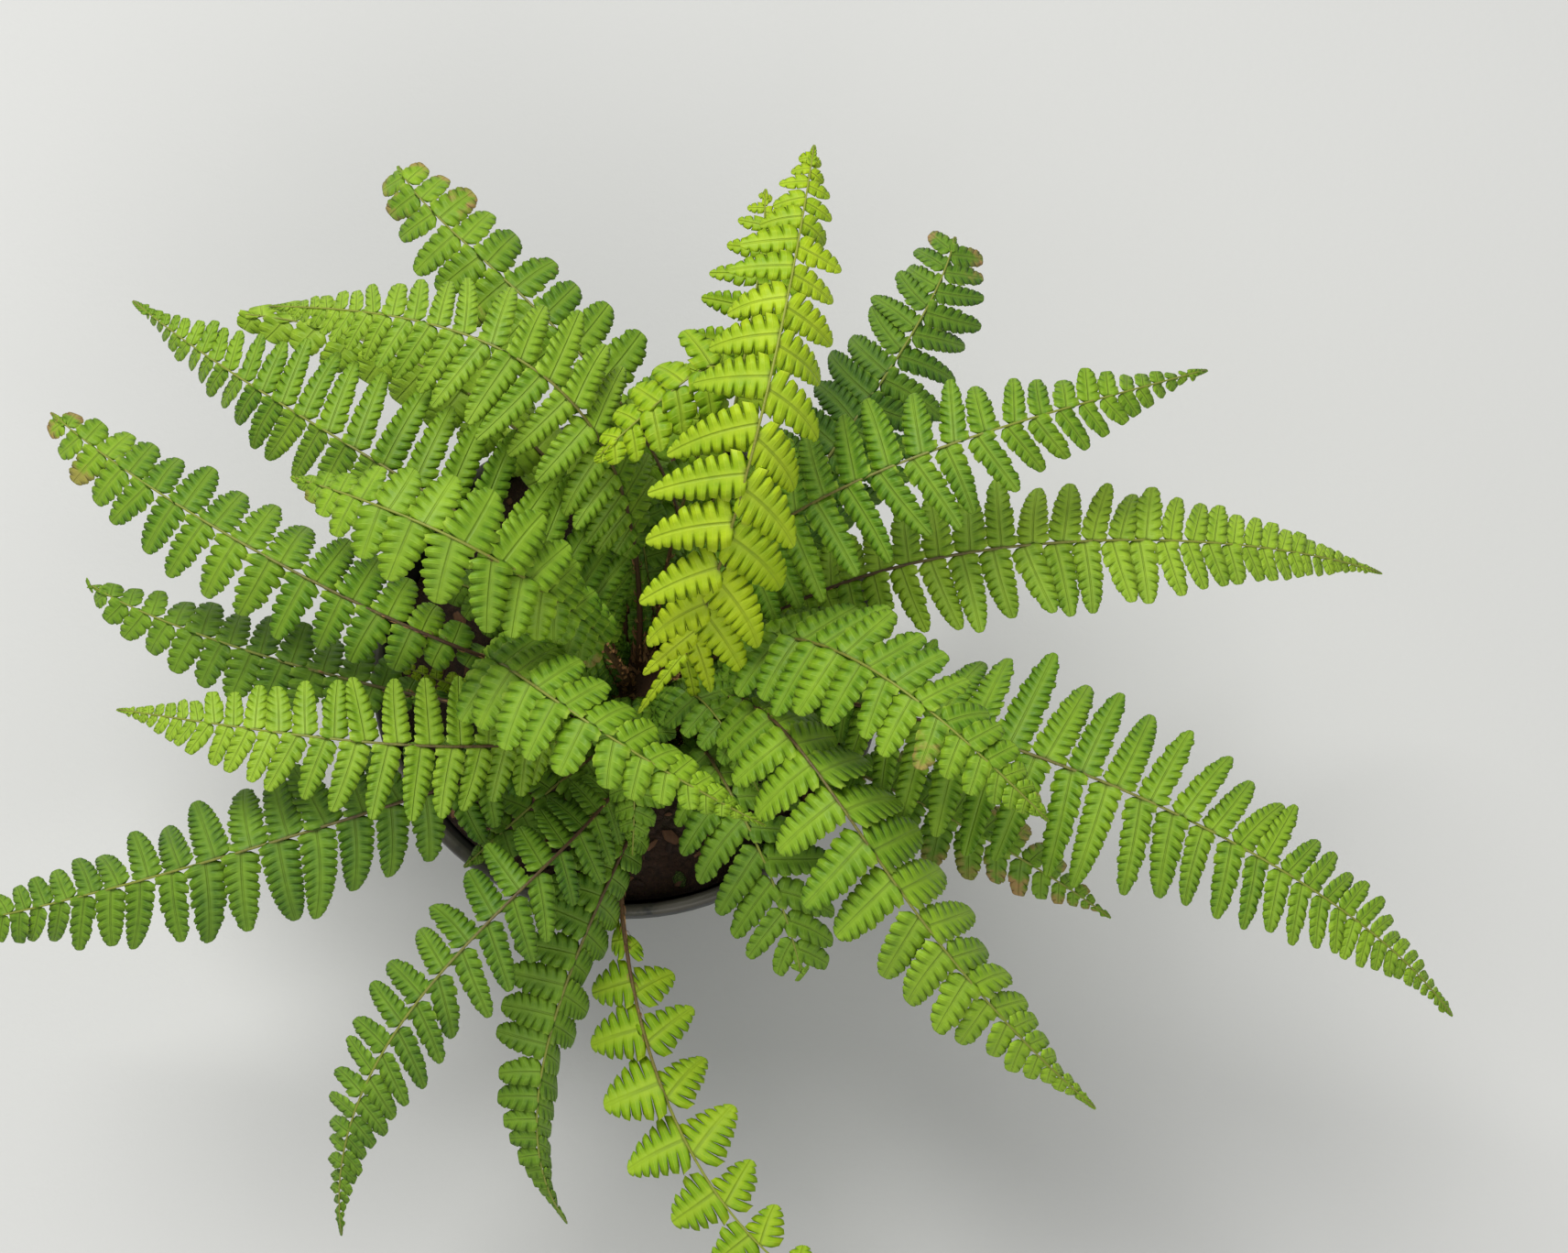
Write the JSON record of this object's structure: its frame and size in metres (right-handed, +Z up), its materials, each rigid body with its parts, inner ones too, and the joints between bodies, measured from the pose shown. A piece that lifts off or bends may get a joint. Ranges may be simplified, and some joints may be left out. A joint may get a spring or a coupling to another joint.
{
  "type": "potted fern",
  "caption": "Bushy fern with arched, feather-like fronds cut into leaflets, rising from a scaly crown in a round plastic nursery pot of soil.",
  "frame": {"origin": "centre of the pot's flat underside", "axes": "+Z up along the pot's axis; +Y away from the side where the pot's rim shows; +X to the right"},
  "size_m": [0.4924, 0.3704, 0.278],
  "materials": {
    "pot_plastic": "semi-matte black polypropylene",
    "compost": "damp bark and coir, matte",
    "rootstock": "papery brown scales, matte",
    "mid_green": "satin leaf",
    "dark_green": "satin leaf",
    "pale_green": "satin leaf",
    "young_green": "satin young leaf"
  },
  "bodies": {
    "root": {"pot": "pot_plastic", "soil": "compost", "main_crown": "rootstock", "side_crown": "rootstock", "frond_east": "pale_green", "frond_east_north_east": "mid_green", "frond_north_east": "dark_green", "frond_inner_north_east": "dark_green", "frond_young_north": "young_green", "frond_slender_north": "young_green", "frond_hooked_north": "young_green", "frond_inner_north": "dark_green", "frond_north_north_west": "mid_green", "frond_upper_north_west": "pale_green", "frond_hidden_north_west": "pale_green", "frond_north_west": "mid_green", "frond_inner_west": "mid_green", "frond_inner_west_low": "dark_green", "frond_west_north_west": "mid_green", "frond_low_west": "dark_green", "frond_small_west": "young_green", "frond_west": "pale_green", "frond_south_west": "dark_green", "frond_inner_south_west": "dark_green", "frond_south_south_west": "dark_green", "frond_low_south": "dark_green", "frond_young_south": "young_green", "frond_inner_south": "dark_green", "frond_inner_south_east": "mid_green", "frond_low_south_east": "dark_green", "frond_south_east": "mid_green", "frond_hidden_east_south_east": "dark_green", "frond_east_south_east": "mid_green", "frond_inner_east": "mid_green", "frond_centre_east": "dark_green", "frond_centre_north": "dark_green", "frond_centre_west": "dark_green", "frond_centre_south": "dark_green", "frond_centre_south_east": "dark_green"}
  },
  "joints": []
}
